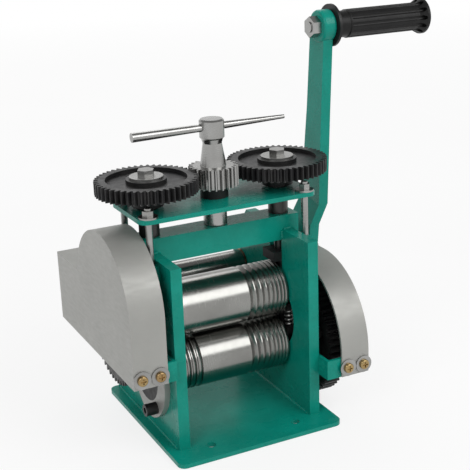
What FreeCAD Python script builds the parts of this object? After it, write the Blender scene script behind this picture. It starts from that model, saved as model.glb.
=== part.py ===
import FreeCAD, Part
import math
import os

# Jewellers rolling mill, all sizes in millimetres.
# X runs along the rolls, Y runs away from the operator, Z is up.
# The origin is the middle of the base's four bench bolts, on the bench.

os.makedirs("parts", exist_ok=True)

# how far a cutter runs past the face that it cuts
cut_over = 1.0

# base
base_width = 160.0
base_depth = 172.0
base_thick = 4.0
base_corner_r = 7.0
bench_hole_r = 4.25
bench_hole_inset_x = 38.0
bench_hole_inset_y = 20.0

# side plates
clear_width = 120.0
side_thick = 10.0
side_top_z = 170.0
side_front_y = -62.0
side_top_depth = 117.0
side_shoulder_z = 133.0
side_rear_wall = 17.4

# rolls
roll_r = 25.5
roll_y = -3.5
lower_roll_z = 58.5
nip_gap = 1.8
roll_end_gap = 2.0
journal_r = 7.0
roll_thread_r = 6.0
journal_spare = 1.0
upper_spacer_r = 18.0
lower_spacer_r = 11.0
wire_groove_widths = [5.5, 5.0, 4.5, 4.0, 3.5, 3.0, 2.5, 2.0]
wire_groove_land = 1.0
wire_groove_end_land = 1.5
round_groove_widths = [2.5, 3.0, 3.5, 4.0, 4.5, 5.0]
round_groove_land = 1.0

# slots and windows in the side plates
slot_width = 22.0
slot_floor_z = 42.5
window_r = 31.0
window_z = 85.0

# bearings
lift_clear = 0.3
seat_clear = 0.05
run_clear = 0.05
bush_wall = 1.9
lower_block_top_z = 75.0
spring_shelf_thick = 6.0
spring_shelf_half = 19.0
upper_block_foot_z = 93.0
upper_block_top_z = 148.0
pad_inner_x = 52.0
pad_bottom_z = 139.2
flange_outer_r = 43.5
flange_hole_r = 28.0
flange_thick = 5.0
flange_flat_top_z = 90.0
flange_flat_reach = 36.5
flange_flat_deg = -52.0
flange_bolt_pcd_r = 35.5
flange_bolt_degs = [233.0, 160.0, 20.0]
flange_bolt_r = 3.0
flange_bolt_head_r = 5.5
flange_bolt_head_long = 11.0
flange_bolt_socket_flat = 5.2
flange_bolt_socket_deep = 4.0
flange_bolt_grip = 8.0

# return springs
spring_wire_r = 0.8
spring_coil_r = 3.6
spring_turns = 4.0
spring_half_y = 14.0
spring_top_clear = 0.1

# crossbar
crossbar_half = 77.0
crossbar_depth = 25.0
crossbar_sink = 10.0
crossbar_height = 23.0

# top plate on four studs
top_half_width = 84.0
top_depth = 73.0
top_plate_rise = 21.0
top_thick = 4.0
top_corner_r = 9.0
stud_r = 3.0
stud_half_y = 28.5
stud_foot_drop = 20.0
stud_lug_width = 9.0
stud_lug_depth = 12.0
stud_lug_height = 16.0
stud_nut_flat = 9.0
stud_nut_thick = 5.0
stud_washer_r = 8.5
stud_washer_thick = 1.4
stud_end_spare = 2.0

# adjusting gears and screws
adjust_module = 1.75
adjust_pinion_teeth = 23
adjust_gear_teeth = 49
adjust_mesh_clear = 0.10
adjust_gear_rise = 26.0
adjust_gear_thick = 12.0
adjust_recess_r = 35.0
adjust_recess_deep = 3.5
adjust_hub_r = 17.6
adjust_collar_r = 14.0
adjust_collar_rise = 2.0
screw_r = 9.0
screw_tip_r = 4.3
screw_tip_deep = 6.0
screw_pass_clear = 1.0
screw_bolt_r = 5.0
screw_bolt_deep = 14.0
screw_bolt_flat = 13.0
screw_bolt_head = 5.5
screw_washer_r = 14.6
screw_washer_thick = 2.0

# T handle
adjust_pinion_rise = 10.0
adjust_pinion_long = 18.0
spindle_r = 10.5
spindle_spigot_r = 6.0
spindle_spigot_deep = 10.0
spindle_float = 0.3
pinion_seat_r = 8.0
cone_foot_r = 11.5
cone_top_r = 8.4
cone_long = 20.0
neck_long = 3.7
head_long = 17.5
head_r = 11.0
head_chamfer = 1.5
collar_r = 12.4
collar_bush_wall = 1.0
bar_drop = 7.2
bar_left_x = -74.0
bar_right_x = 71.0
bar_left_r = 4.1
bar_mid_r = 3.3
bar_right_r = 1.8

# drive train
drive_module = 2.0
drive_pinion_teeth = 17
main_gear_teeth = 55
idler_teeth = 17
drive_mesh_clear = 0.10
gear_backlash = 0.24
shaft_z = 113.0
shaft_r = 10.0
pinion_shaft_seat_r = 8.0
train_inner_x = 84.0
left_train_inner_x = 88.0
train_face = 16.0
main_gear_web = 7.0
main_gear_rim = 8.0
main_gear_hub_r = 15.0
main_gear_hub_long = 4.0
sleeve_r = 12.5
sleeve_end_gap = 2.0
shaft_bush_wall = 3.0
shaft_flange_wall = 3.0
idler_stud_r = 6.0
idler_head_r = 9.0
idler_head_thick = 2.5
roll_nut_flat = 18.0
roll_nut_thick = 6.0
roll_thread_spare = 1.0
shaft_spare = 2.0

# gear covers
cover_sheet = 2.0
left_cover_inner_x = 79.0
left_cover_outer_x = 110.0
left_arc_r = 64.5
left_arc_y = -3.0
left_arc_z = 129.0
left_cover_bottom_z = 73.0
left_box_top_z = 140.0
left_box_rear_y = 120.0
right_cover_inner_x = 84.0
right_cover_outer_x = 112.0
right_arc_r = 76.0
right_arc_y = -3.0
right_arc_z = 62.0
right_cover_bottom_z = 43.0
right_cover_rear_y = 92.0
cover_shaft_clear = 2.0
bracket_thick = 3.0
bracket_height = 18.0
bracket_end_gap = 1.0
left_bracket_rear_y = -46.0
right_bracket_rear_y = -49.0
cover_screw_spacing = 16.3
cover_screw_r = 2.5
cover_screw_head_r = 4.6
cover_screw_head = 2.6
cover_screw_head_round = 1.56
cover_screw_long = 7.0
cover_screw_rise = 8.5
cover_washer_r = 8.0
cover_washer_thick = 1.4
cross_slot_long = 5.0
cross_slot_wide = 1.1
cross_slot_deep = 1.3

# crank arm, in the line from the shaft to the grip: front and rear are its edges beside that line
arm_hub_inner_x = 120.0
arm_thick = 10.0
arm_jog = 9.0
arm_reach = 229.8
arm_lean_deg = 8.9
arm_hub_r = 27.0
arm_jog_start = 40.0
arm_jog_end = 60.0
arm_waist_at = 150.0
arm_root_front = 26.5
arm_root_rear = 9.0
arm_waist_front = 16.4
arm_waist_rear = 10.2
arm_tip_front = 10.0
arm_tip_rear = 14.2
arm_boss_r = 15.0
arm_boss_round = 2.5
arm_boss_proud_in = 1.5
arm_boss_proud_out = 2.0

# crank nut, washer and collar
hub_flat = 24.0
crank_nut_thick = 9.0
crank_washer_r = 14.0
crank_washer_thick = 2.0
crank_thread_r = 7.5
crank_collar_r = 14.0

# grip and its spindle
grip_spindle_r = 5.0
grip_spindle_in = 9.0
grip_spindle_spare = 1.0
grip_nut_flat = 17.0
grip_nut_thick = 8.0
disc_r = 19.5
disc_thick = 2.5
grip_start_gap = 0.4
grip_long = 103.5
grip_neck_r = 12.3
grip_neck_long = 13.0
grip_edge_long = 1.0
grip_body_r = 13.2
grip_flute_r = 2.2
grip_flute_deep = 1.1
grip_flutes = 12
grip_end_r = 16.8
grip_flare_long = 7.0
grip_rim_long = 2.5
grip_dome_high = 4.0
grip_end_wall = 9.0

# derived places
spring_room = upper_block_foot_z - lower_block_top_z - spring_top_clear
spring_pitch = (spring_room - 2.0 * spring_wire_r) / spring_turns
inner_x = clear_width / 2.0
outer_x = inner_x + side_thick
mid_x = inner_x + side_thick / 2.0
side_rear_top_y = side_front_y + side_top_depth
crossbar_bottom_z = side_top_z - crossbar_sink
crossbar_top_z = crossbar_bottom_z + crossbar_height
stud_foot_z = side_top_z - stud_foot_drop
base_hole_x = base_width / 2.0 - bench_hole_inset_x
base_hole_y = base_depth / 2.0 - bench_hole_inset_y
roll_half = inner_x - roll_end_gap
upper_roll_z = lower_roll_z + 2.0 * roll_r + nip_gap
bush_r = journal_r + run_clear + bush_wall
drive_pinion_pitch_r = drive_module * drive_pinion_teeth / 2.0
main_gear_pitch_r = drive_module * main_gear_teeth / 2.0
idler_pitch_r = drive_module * idler_teeth / 2.0
shaft_y = roll_y + drive_pinion_pitch_r + main_gear_pitch_r + drive_mesh_clear
side_rear_y = shaft_y + side_rear_wall
adjust_pinion_pitch_r = adjust_module * adjust_pinion_teeth / 2.0
adjust_gear_pitch_r = adjust_module * adjust_gear_teeth / 2.0
screw_x = adjust_pinion_pitch_r + adjust_gear_pitch_r + adjust_mesh_clear
top_bottom_z = crossbar_top_z + top_plate_rise
top_top_z = top_bottom_z + top_thick
adjust_collar_bottom_z = top_top_z + adjust_collar_rise
adjust_gear_top_z = top_top_z + adjust_gear_rise
pinion_bottom_z = top_top_z + adjust_pinion_rise
pinion_top_z = pinion_bottom_z + adjust_pinion_long
cone_top_z = pinion_top_z + cone_long
head_bottom_z = cone_top_z + neck_long
head_top_z = head_bottom_z + head_long
bar_z = head_top_z - bar_drop
stud_x = outer_x + stud_lug_width / 2.0
left_cover_front_y = left_arc_y - left_arc_r
right_cover_front_y = right_arc_y - right_arc_r
left_screw_z = left_cover_bottom_z + cover_screw_rise
right_screw_z = right_cover_bottom_z + cover_screw_rise
left_train_outer_x = left_train_inner_x + train_face
train_outer_x = train_inner_x + train_face
arm_inner_x = arm_hub_inner_x + arm_jog
arm_outer_x = arm_inner_x + arm_thick
boss_inner_x = arm_inner_x - arm_boss_proud_in
boss_outer_x = arm_outer_x + arm_boss_proud_out
boss_y = shaft_y - arm_reach * math.sin(math.radians(arm_lean_deg))
boss_z = shaft_z + arm_reach * math.cos(math.radians(arm_lean_deg))


def vec(x, y, z):
    return FreeCAD.Vector(x, y, z)


def box(x0, x1, y0, y1, z0, z1):
    low_x = min(x0, x1)
    low_y = min(y0, y1)
    low_z = min(z0, z1)
    return Part.makeBox(abs(x1 - x0), abs(y1 - y0), abs(z1 - z0), vec(low_x, low_y, low_z))


def x_rod(r, x0, x1, y, z):
    return Part.makeCylinder(r, abs(x1 - x0), vec(min(x0, x1), y, z), vec(1, 0, 0))


def y_rod(r, y0, y1, x, z):
    return Part.makeCylinder(r, abs(y1 - y0), vec(x, min(y0, y1), z), vec(0, 1, 0))


def z_rod(r, z0, z1, x, y):
    return Part.makeCylinder(r, abs(z1 - z0), vec(x, y, min(z0, z1)), vec(0, 0, 1))


# cutters for bores that go right through
def x_bore(r, x0, x1, y, z):
    return x_rod(r, min(x0, x1) - cut_over, max(x0, x1) + cut_over, y, z)


def y_bore(r, y0, y1, x, z):
    return y_rod(r, min(y0, y1) - cut_over, max(y0, y1) + cut_over, x, z)


def z_bore(r, z0, z1, x, y):
    return z_rod(r, min(z0, z1) - cut_over, max(z0, z1) + cut_over, x, y)


def x_tube(outer, inner, x0, x1, y, z):
    return x_rod(outer, x0, x1, y, z).cut(x_bore(inner, x0, x1, y, z))


def z_tube(outer, inner, z0, z1, x, y):
    return z_rod(outer, z0, z1, x, y).cut(z_bore(inner, z0, z1, x, y))


def x_cone(r0, r1, x0, x1, y, z):
    return Part.makeCone(r0, r1, x1 - x0, vec(x0, y, z), vec(1, 0, 0))


def z_cone(r0, r1, z0, z1, x, y):
    return Part.makeCone(r0, r1, z1 - z0, vec(x, y, z0), vec(0, 0, 1))


def hex_points(flat, turn_deg):
    radius = flat / math.sqrt(3.0)
    points = []
    for i in range(7):
        a = math.radians(60.0 * i + turn_deg)
        points.append((radius * math.cos(a), radius * math.sin(a)))
    return points


def z_hex(flat, z0, z1, x, y):
    pts = [vec(x + u, y + v, z0) for u, v in hex_points(flat, 0.0)]
    return Part.Face(Part.makePolygon(pts)).extrude(vec(0, 0, z1 - z0))


def x_hex(flat, x0, x1, y, z):
    pts = [vec(x0, y + u, z + v) for u, v in hex_points(flat, 30.0)]
    return Part.Face(Part.makePolygon(pts)).extrude(vec(x1 - x0, 0, 0))


def x_prism(yz_points, x0, x1):
    pts = [vec(x0, y, z) for y, z in yz_points]
    pts.append(pts[0])
    return Part.Face(Part.makePolygon(pts)).extrude(vec(x1 - x0, 0, 0))


def mirror_x(shape):
    return shape.mirror(vec(0, 0, 0), vec(1, 0, 0))


def upright_edges(shape, wanted):
    found = []
    for edge in shape.Edges:
        a = edge.Vertexes[0].Point
        b = edge.Vertexes[-1].Point
        if abs(a.x - b.x) < 1e-6 and abs(a.y - b.y) < 1e-6 and wanted(a):
            found.append(edge)
    return found


def rounded_plate(x0, x1, y0, y1, z0, z1, r):
    plate = box(x0, x1, y0, y1, z0, z1)
    return plate.makeFillet(r, upright_edges(plate, lambda p: True))


def save(name, shapes):
    solids = []
    for shape in shapes:
        solids.extend(shape.Solids)
    whole = solids[0] if len(solids) == 1 else Part.makeCompound(solids)
    whole.exportStep("parts/" + name + ".step")


# Gear teeth: true involute flanks drawn as three-point chords, thinned by the backlash.
def tooth_outline(teeth, module, centre_angle):
    pitch_r = module * teeth / 2.0
    pressure = math.radians(20.0)
    base_r = pitch_r * math.cos(pressure)
    tip_r = pitch_r + module
    root_r = pitch_r - 1.25 * module
    half_pitch = (math.pi * module / 2.0 - gear_backlash) / (2.0 * pitch_r)
    start_r = max(base_r, root_r)
    flank = []
    for i in range(3):
        r = start_r + (tip_r - start_r) * i / 2.0
        slope = math.acos(min(1.0, base_r / r))
        involute = math.tan(slope) - slope
        reach = half_pitch + math.tan(pressure) - pressure - involute
        flank.append((r, reach))
    points = []
    for k in range(teeth):
        middle = centre_angle + 2.0 * math.pi * k / teeth
        side = [(root_r, -flank[0][1])] + [(r, -a) for r, a in flank]
        other = [(r, a) for r, a in reversed(flank)] + [(root_r, flank[0][1])]
        for r, a in side + other:
            points.append((r * math.cos(middle + a), r * math.sin(middle + a)))
    return points


def x_gear(teeth, centre_angle, x0, x1, y, z):
    outline = tooth_outline(teeth, drive_module, centre_angle)
    return x_prism([(y + u, z + v) for u, v in outline], x0, x1)


def z_gear(teeth, centre_angle, z0, z1, x, y):
    outline = tooth_outline(teeth, adjust_module, centre_angle)
    pts = [vec(x + u, y + v, z0) for u, v in outline]
    pts.append(pts[0])
    return Part.Face(Part.makePolygon(pts)).extrude(vec(0, 0, z1 - z0))


def mating_angle(line_angle, teeth_a, angle_a, teeth_b):
    """Angle of one tooth of gear B, so that its gaps meet the teeth of gear A."""
    pitch_a = 2.0 * math.pi / teeth_a
    pitch_b = 2.0 * math.pi / teeth_b
    share = (line_angle - angle_a) / pitch_a
    return line_angle + math.pi - (0.5 - share) * pitch_b


def angle_between(y0, z0, y1, z1):
    return math.atan2(z1 - z0, y1 - y0)


def idler_place():
    """The idler's centre, below and behind the line from the drive shaft to the lower roll."""
    reach_s = drive_pinion_pitch_r + idler_pitch_r + drive_mesh_clear
    reach_l = main_gear_pitch_r + idler_pitch_r + drive_mesh_clear
    dy = roll_y - shaft_y
    dz = lower_roll_z - shaft_z
    span = math.hypot(dy, dz)
    along = (reach_s ** 2 - reach_l ** 2 + span ** 2) / (2.0 * span)
    off = math.sqrt(reach_s ** 2 - along ** 2)
    y = shaft_y + along * dy / span - off * dz / span
    z = shaft_z + along * dz / span + off * dy / span
    return y, z


idler_y, idler_z = idler_place()
pinion_angle = 0.0
left_gear_angle = mating_angle(
    angle_between(shaft_y, shaft_z, roll_y, upper_roll_z), drive_pinion_teeth, pinion_angle, main_gear_teeth)
idler_angle = mating_angle(
    angle_between(shaft_y, shaft_z, idler_y, idler_z), drive_pinion_teeth, pinion_angle, idler_teeth)
right_gear_angle = mating_angle(
    angle_between(idler_y, idler_z, roll_y, lower_roll_z), idler_teeth, idler_angle, main_gear_teeth)


# base and side plates
def make_base():
    half_x = base_width / 2
    half_y = base_depth / 2
    plate = rounded_plate(-half_x, half_x, -half_y, half_y, 0, base_thick, base_corner_r)
    for sx in (-1, 1):
        for sy in (-1, 1):
            plate = plate.cut(z_bore(bench_hole_r, 0, base_thick, sx * base_hole_x, sy * base_hole_y))
    return plate


def flange_bolt_places():
    places = []
    for deg in flange_bolt_degs:
        a = math.radians(deg)
        out_y = flange_bolt_pcd_r * math.cos(a)
        out_z = flange_bolt_pcd_r * math.sin(a)
        places.append((roll_y + out_y, lower_roll_z + out_z))
    return places


def make_side_plate():
    outline = [
        (side_front_y, base_thick),
        (side_front_y, side_top_z),
        (side_rear_top_y, side_top_z),
        (side_rear_y, side_shoulder_z),
        (side_rear_y, base_thick),
    ]
    plate = x_prism(outline, inner_x, outer_x)
    near = inner_x - cut_over
    far = outer_x + cut_over
    over = side_top_z + cut_over
    for width, floor in ((slot_width, slot_floor_z), (crossbar_depth, crossbar_bottom_z)):
        plate = plate.cut(box(near, far, roll_y - width / 2, roll_y + width / 2, floor, over))
    plate = plate.cut(x_rod(window_r, near, far, roll_y, window_z))
    plate = plate.cut(x_rod(shaft_r + run_clear + shaft_bush_wall, near, far, shaft_y, shaft_z))
    for y, z in flange_bolt_places():
        plate = plate.cut(x_rod(flange_bolt_r, outer_x - flange_bolt_grip, far, y, z))
    return plate


def make_stud_lug(y):
    half = stud_lug_depth / 2
    top = stud_foot_z + stud_lug_height
    lug = box(outer_x, outer_x + stud_lug_width, y - half, y + half, stud_foot_z, top)
    return lug.cut(z_bore(stud_r, stud_foot_z, top, stud_x, y))


def make_crossbar():
    half = crossbar_depth / 2
    bar = box(-crossbar_half, crossbar_half, roll_y - half, roll_y + half, crossbar_bottom_z, crossbar_top_z)
    for sx in (-1, 1):
        bar = bar.cut(z_bore(screw_r + run_clear, crossbar_bottom_z, crossbar_top_z, sx * screw_x, roll_y))
    socket_floor = crossbar_top_z - spindle_spigot_deep - spindle_float
    return bar.cut(z_rod(spindle_spigot_r + run_clear, socket_floor, crossbar_top_z + cut_over, 0, roll_y))


# top plate, its studs, nuts and washers
def stud_places():
    return [(sx * stud_x, roll_y + sy * stud_half_y) for sx in (-1, 1) for sy in (-1, 1)]


def make_top_plate():
    plate = rounded_plate(-top_half_width, top_half_width, roll_y - top_depth / 2, roll_y + top_depth / 2,
                          top_bottom_z, top_top_z, top_corner_r)
    for x, y in stud_places():
        plate = plate.cut(z_bore(stud_r + seat_clear, top_bottom_z, top_top_z, x, y))
    for sx in (-1, 1):
        plate = plate.cut(z_bore(screw_r + screw_pass_clear, top_bottom_z, top_top_z, sx * screw_x, roll_y))
    return plate.cut(z_bore(spindle_r + run_clear + collar_bush_wall, top_bottom_z, top_top_z, 0, roll_y))


def make_stud(x, y):
    top = top_top_z + stud_washer_thick + stud_nut_thick + stud_end_spare
    return z_rod(stud_r, stud_foot_z, top, x, y)


def make_stud_washer(x, y):
    return z_tube(stud_washer_r, stud_r + seat_clear, top_top_z, top_top_z + stud_washer_thick, x, y)


def make_stud_nut(x, y, z0):
    nut = z_hex(stud_nut_flat, z0, z0 + stud_nut_thick, x, y)
    return nut.cut(z_bore(stud_r, z0, z0 + stud_nut_thick, x, y))


def make_spindle_collar():
    bore = spindle_r + run_clear
    body = z_tube(bore + collar_bush_wall, bore, top_bottom_z, top_top_z, 0, roll_y)
    rim = z_tube(collar_r, bore, top_top_z, pinion_bottom_z - spindle_float, 0, roll_y)
    return body.fuse(rim).removeSplitter()


# rolls
def half_round(x, width):
    depth = width / 2.0
    middle = vec(x + width / 2, 0, roll_r - depth)
    return Part.Arc(vec(x, 0, roll_r), middle, vec(x + width, 0, roll_r)).toShape()


def roll_profile(left_grooves, ends):
    """Half section of a roll from left to right: ends lists the stepped radii outside the roll."""
    edges = []
    left_steps, right_steps = ends
    here = vec(left_steps[0][0], 0, 0)

    def to(x, r, start):
        point = vec(x, 0, r)
        edges.append(Part.makeLine(start, point))
        return point

    for x, r in left_steps:
        if abs(here.x - x) > 1e-9:
            here = to(x, here.z, here)
        here = to(x, r, here)
    here = to(-roll_half, here.z, here)
    here = to(-roll_half, roll_r, here)
    if left_grooves:
        x = -roll_half + round_groove_land
        for width in round_groove_widths:
            here = to(x, roll_r, here)
            edges.append(half_round(x, width))
            here = vec(x + width, 0, roll_r)
            x += width + round_groove_land
    lands = wire_groove_end_land + wire_groove_land * (len(wire_groove_widths) - 1)
    x = roll_half - lands - sum(wire_groove_widths)
    for width in wire_groove_widths:
        here = to(x, roll_r, here)
        here = to(x + width / 2, roll_r - width / 2, here)
        here = to(x + width, roll_r, here)
        x += width + wire_groove_land
    here = to(roll_half, roll_r, here)
    for x, r in right_steps:
        if abs(here.x - x) > 1e-9:
            here = to(x, here.z, here)
        here = to(x, r, here)
    here = to(here.x, 0, here) if here.z > 0 else here
    edges.append(Part.makeLine(here, vec(left_steps[0][0], 0, 0)))
    return Part.Face(Part.Wire(edges))


def make_roll(left_grooves, ends, z):
    solid = roll_profile(left_grooves, ends).revolve(vec(0, 0, 0), vec(1, 0, 0), 360)
    solid.translate(vec(0, roll_y, z))
    return solid


def gear_floor(inner):
    return inner + (train_face + main_gear_web) / 2.0


def roll_thread_end(inner):
    return gear_floor(inner) + roll_nut_thick + roll_thread_spare


def make_lower_roll():
    left_end = -outer_x - flange_thick
    right_end = roll_thread_end(train_inner_x)
    left = [(left_end, journal_r)]
    right = [(roll_half, journal_r), (gear_floor(train_inner_x), roll_thread_r), (right_end, 0)]
    return make_roll(True, (left, right), lower_roll_z)


def make_upper_roll():
    left_end = -roll_thread_end(left_train_inner_x)
    left = [(left_end, roll_thread_r), (-gear_floor(left_train_inner_x), journal_r)]
    right = [(roll_half, journal_r), (outer_x + journal_spare, 0)]
    return make_roll(False, (left, right), upper_roll_z)


# bearings, made for the right side
def make_lower_bearing():
    half = slot_width / 2 - seat_clear
    block = box(inner_x, outer_x, roll_y - half, roll_y + half, slot_floor_z, lower_block_top_z)
    shelf = box(inner_x, outer_x, roll_y - spring_shelf_half, roll_y + spring_shelf_half,
                lower_block_top_z - spring_shelf_thick, lower_block_top_z)
    cap = x_rod(flange_hole_r - seat_clear, outer_x, outer_x + flange_thick, roll_y, lower_roll_z)
    whole = block.fuse([shelf, cap])
    bore = x_bore(bush_r, inner_x, outer_x + flange_thick, roll_y, lower_roll_z)
    return whole.cut(bore).removeSplitter()


def make_upper_bearing():
    half = slot_width / 2 - lift_clear
    far_x = outer_x - lift_clear
    near_x = inner_x - lift_clear
    tongue = box(near_x, far_x, roll_y - half, roll_y + half, upper_block_foot_z, upper_block_top_z)
    shelf = box(inner_x + lift_clear, far_x, roll_y - spring_shelf_half, roll_y + spring_shelf_half,
                upper_block_foot_z, upper_block_foot_z + spring_shelf_thick)
    pad = box(pad_inner_x, near_x, roll_y - half, roll_y + half, pad_bottom_z, upper_block_top_z)
    whole = tongue.fuse([shelf, pad])
    whole = whole.cut(x_bore(bush_r, near_x, far_x, roll_y, upper_roll_z))
    tip_floor = upper_block_top_z - screw_tip_deep
    tip = z_rod(screw_tip_r + run_clear, tip_floor, upper_block_top_z + cut_over, screw_x, roll_y)
    return whole.cut(tip).removeSplitter()


def make_bush(x0, x1, z):
    return x_tube(bush_r, journal_r + run_clear, x0, x1, roll_y, z)


def make_bearing_flange():
    ring = x_tube(flange_outer_r, flange_hole_r, outer_x, outer_x + flange_thick, roll_y, lower_roll_z)
    wide = 2 * flange_outer_r
    near = outer_x - cut_over
    far = outer_x + flange_thick + cut_over
    ring = ring.cut(box(near, far, roll_y - wide, roll_y + wide, flange_flat_top_z, flange_flat_top_z + wide))
    flat_y = roll_y + flange_flat_reach
    cutter = box(near, far, flat_y, roll_y + wide, lower_roll_z - wide, lower_roll_z + wide)
    cutter.rotate(vec(0, roll_y, lower_roll_z), vec(1, 0, 0), flange_flat_deg)
    ring = ring.cut(cutter)
    for y, z in flange_bolt_places():
        ring = ring.cut(x_rod(flange_bolt_r + seat_clear, near, far, y, z))
    return ring


def make_flange_bolt(y, z):
    face = outer_x + flange_thick
    head_end = face + flange_bolt_head_long
    shank = x_rod(flange_bolt_r, outer_x - flange_bolt_grip, face, y, z)
    head = x_rod(flange_bolt_head_r, face, head_end, y, z)
    socket = x_hex(flange_bolt_socket_flat, head_end - flange_bolt_socket_deep, head_end + cut_over, y, z)
    return shank.fuse(head).cut(socket).removeSplitter()


# return springs: each is one unbroken wire, drawn as pairs of arcs for every quarter turn
def helix_point(x, y, z0, turn):
    a = 2.0 * math.pi * turn
    return vec(x + spring_coil_r * math.cos(a), y + spring_coil_r * math.sin(a), z0 + spring_pitch * turn)


def helix_tangent(turn):
    a = 2.0 * math.pi * turn
    rise = spring_pitch / (2.0 * math.pi)
    way = vec(-spring_coil_r * math.sin(a), spring_coil_r * math.cos(a), rise)
    return way.normalize()


def tangent_arc(start, corner, end):
    middle = (start + end) * 0.5
    half = (end - start).Length / 2.0
    reach = (corner - middle).Length
    bulge = half * math.tan(math.atan2(reach, half) / 2.0)
    return Part.Arc(start, middle + (corner - middle) * (bulge / reach), end).toShape()


def biarc(p0, t0, p1, t1):
    span = p1 - p0
    both = t0 + t1
    spread = 2.0 * (1.0 - t0.dot(t1))
    along = span.dot(both)
    d = (-along + math.sqrt(along * along + spread * span.dot(span))) / spread
    corner0 = p0 + t0 * d
    corner1 = p1 - t1 * d
    joint = (corner0 + corner1) * 0.5
    return [tangent_arc(p0, corner0, joint), tangent_arc(joint, corner1, p1)]


def make_return_spring(x, y):
    z0 = lower_block_top_z + spring_wire_r
    edges = []
    quarters = int(round(4 * spring_turns))
    for i in range(quarters):
        here = i / 4.0
        after = (i + 1) / 4.0
        edges.extend(biarc(helix_point(x, y, z0, here), helix_tangent(here),
                           helix_point(x, y, z0, after), helix_tangent(after)))
    ring = Part.makeCircle(spring_wire_r, helix_point(x, y, z0, 0.0), helix_tangent(0.0))
    pipe = Part.BRepOffsetAPI.MakePipeShell(Part.Wire(edges))
    pipe.add(Part.Wire(ring))
    pipe.build()
    pipe.makeSolid()
    return pipe.shape()


def least_spring_gap():
    points = [helix_point(0.0, 0.0, 0.0, i / 48.0) for i in range(int(48 * spring_turns) + 1)]
    least = min((points[i] - points[j]).Length
                for i in range(len(points)) for j in range(i + 24, len(points)))
    return least - 2.0 * spring_wire_r


# gears
def make_main_gear(x_near, angle, z, sign):
    far = x_near + sign * train_face
    gear = x_gear(main_gear_teeth, angle, x_near, far, roll_y, z)
    root_r = main_gear_pitch_r - 1.25 * drive_module
    recess = (train_face - main_gear_web) / 2.0
    ring_out = root_r - main_gear_rim
    near_floor = x_near + sign * recess
    far_floor = far - sign * recess
    gear = gear.cut(x_tube(ring_out, main_gear_hub_r, x_near, near_floor, roll_y, z))
    gear = gear.cut(x_rod(ring_out, far_floor, far + sign * cut_over, roll_y, z))
    hub_end = x_near - sign * main_gear_hub_long
    hub = x_rod(main_gear_hub_r, hub_end, x_near, roll_y, z)
    return gear.fuse(hub).cut(x_bore(journal_r, hub_end, far, roll_y, z)).removeSplitter()


def make_drive_pinion(x0, x1):
    gear = x_gear(drive_pinion_teeth, pinion_angle, x0, x1, shaft_y, shaft_z)
    return gear.cut(x_bore(pinion_shaft_seat_r, x0, x1, shaft_y, shaft_z))


def make_idler():
    gear = x_gear(idler_teeth, idler_angle, train_inner_x, train_outer_x, idler_y, idler_z)
    return gear.cut(x_bore(idler_stud_r + run_clear, train_inner_x, train_outer_x, idler_y, idler_z))


def make_idler_stud():
    head_x = train_outer_x + lift_clear
    shoulder = x_rod(idler_head_r, outer_x, train_inner_x - lift_clear, idler_y, idler_z)
    pin = x_rod(idler_stud_r, inner_x, head_x, idler_y, idler_z)
    head = x_rod(idler_head_r, head_x, head_x + idler_head_thick, idler_y, idler_z)
    return shoulder.fuse([pin, head]).removeSplitter()


def make_roll_nut(x0, x1, z):
    nut = x_hex(roll_nut_flat, x0, x1, roll_y, z)
    return nut.cut(x_bore(roll_thread_r, x0, x1, roll_y, z))


# drive shaft
def make_drive_shaft():
    left = -(left_train_outer_x + shaft_spare)
    journal = x_rod(shaft_r, -left_train_inner_x, train_inner_x, shaft_y, shaft_z)
    left_seat = x_rod(pinion_shaft_seat_r, left, -left_train_inner_x, shaft_y, shaft_z)
    right_seat = x_rod(pinion_shaft_seat_r, train_inner_x, arm_hub_inner_x + arm_thick, shaft_y, shaft_z)
    thread_end = arm_hub_inner_x + arm_thick + crank_washer_thick + crank_nut_thick + shaft_spare
    thread = x_rod(crank_thread_r, arm_hub_inner_x + arm_thick, thread_end, shaft_y, shaft_z)
    return journal.fuse([left_seat, right_seat, thread]).removeSplitter()


def make_shaft_bush():
    bore = shaft_r + run_clear
    outer = bore + shaft_bush_wall
    body = x_tube(outer, bore, inner_x, outer_x, shaft_y, shaft_z)
    rim = x_tube(outer + shaft_flange_wall, bore, outer_x, outer_x + shaft_flange_wall, shaft_y, shaft_z)
    return body.fuse(rim).removeSplitter()


# adjusting screws and gears, made for the right side
def make_adjusting_gear(angle, x):
    bottom = adjust_gear_top_z - adjust_gear_thick
    gear = z_gear(adjust_gear_teeth, angle, bottom, adjust_gear_top_z, x, roll_y)
    for floor in (bottom, adjust_gear_top_z - adjust_recess_deep):
        gear = gear.cut(z_tube(adjust_recess_r, adjust_hub_r, floor, floor + adjust_recess_deep, x, roll_y))
    collar = z_rod(adjust_collar_r, adjust_collar_bottom_z, bottom, x, roll_y)
    whole = gear.fuse(collar)
    whole = whole.cut(z_rod(screw_r, adjust_collar_bottom_z - cut_over, bottom, x, roll_y))
    return whole.cut(z_bore(screw_bolt_r, bottom, adjust_gear_top_z, x, roll_y)).removeSplitter()


def make_screw(x):
    shoulder = adjust_gear_top_z - adjust_gear_thick
    thread = z_rod(screw_r, crossbar_bottom_z, shoulder, x, roll_y)
    tip = z_rod(screw_tip_r, upper_block_top_z - screw_tip_deep, crossbar_bottom_z, x, roll_y)
    hole = z_rod(screw_bolt_r, shoulder - screw_bolt_deep, shoulder + cut_over, x, roll_y)
    return thread.fuse(tip).cut(hole).removeSplitter()


def make_screw_washer(x):
    return z_tube(screw_washer_r, screw_bolt_r + seat_clear, adjust_gear_top_z,
                  adjust_gear_top_z + screw_washer_thick, x, roll_y)


def make_screw_bolt(x):
    seat = adjust_gear_top_z + screw_washer_thick
    shank = z_rod(screw_bolt_r, adjust_gear_top_z - adjust_gear_thick - screw_bolt_deep, seat, x, roll_y)
    return shank.fuse(z_hex(screw_bolt_flat, seat, seat + screw_bolt_head, x, roll_y)).removeSplitter()


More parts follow.
